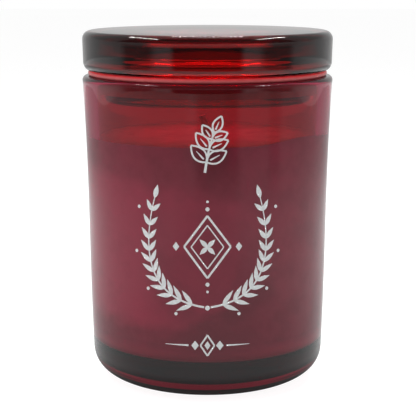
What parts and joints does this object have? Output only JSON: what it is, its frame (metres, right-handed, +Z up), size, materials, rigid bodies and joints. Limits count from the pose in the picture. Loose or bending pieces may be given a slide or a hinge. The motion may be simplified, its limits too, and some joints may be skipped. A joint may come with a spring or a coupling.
{
  "type": "jar candle",
  "caption": "Scented wax candle in a tapered see-through red glass jar with a rounded heavy base, a silicone seal and a lift-off red glass lid.",
  "frame": {"origin": "centre of the jar's foot, on the surface it stands on", "axes": "+Z up along the jar's axis; the printed front faces -Y"},
  "size_m": [0.0636, 0.0636, 0.09],
  "materials": {
    "red_glass": "clear polished glass tinted deep red through its thickness",
    "lid_glass": "clear polished glass tinted deep red through its thickness",
    "silicone": "translucent satin silicone, pink from the red glass around it",
    "wax": "satin poured wax",
    "cotton": "waxed braided cotton"
  },
  "bodies": {
    "root": {"jar": "red_glass", "lid": "lid_glass", "seal": "silicone", "wax": "wax", "wick": "cotton"}
  },
  "joints": []
}
